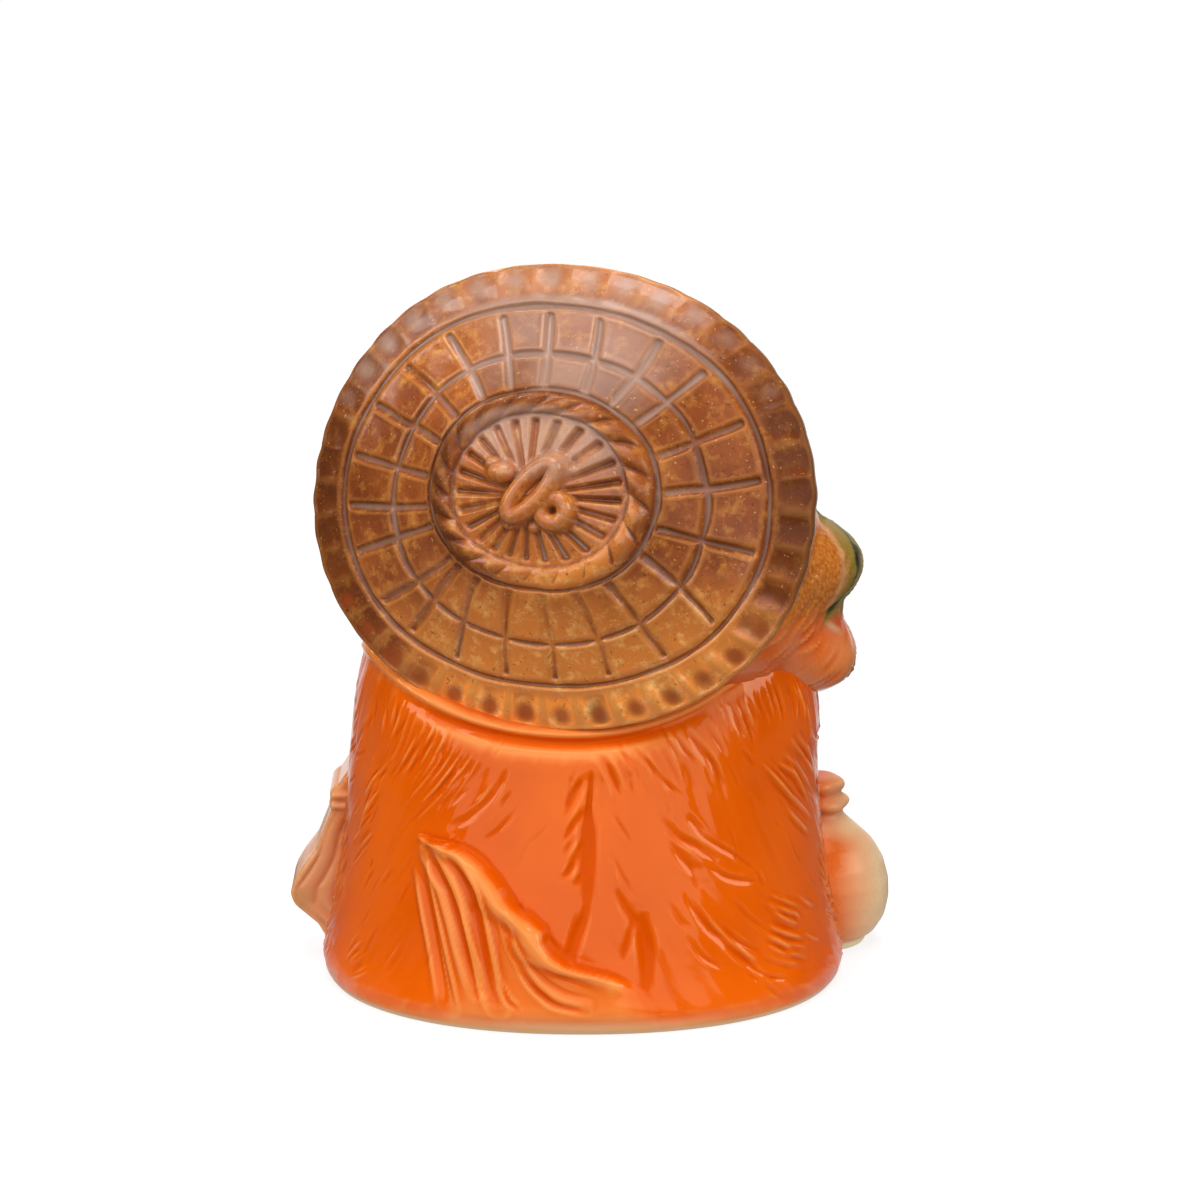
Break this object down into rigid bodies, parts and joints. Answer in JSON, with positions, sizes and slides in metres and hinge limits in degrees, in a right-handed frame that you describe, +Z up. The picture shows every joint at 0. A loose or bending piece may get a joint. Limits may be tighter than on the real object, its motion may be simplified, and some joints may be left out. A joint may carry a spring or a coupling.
{
  "type": "tanuki figurine",
  "caption": "Glazed ceramic tanuki in a wide straw hat, standing with a sake flask and an account book, its tail curled up its back.",
  "frame": {"origin": "middle of the flat underside", "axes": "+Z up, the figure faces -Y, its right side is at -X"},
  "size_m": [0.1001, 0.0886, 0.1197],
  "materials": {
    "orange_glaze": "bright orange low-fire glaze over cream slip-cast clay, high gloss, thinner and paler on carved ridges and at the foot",
    "straw_glaze": "mottled ochre and red-brown glaze, speckled, darker where it pools in the carved lines",
    "cream_glaze": "clear gloss over cream clay, with orange sprayed softly over its edges",
    "dark_glaze": "hand-painted black and olive green under gloss"
  },
  "bodies": {
    "root": {"figurine": "orange_glaze"}
  },
  "joints": []
}
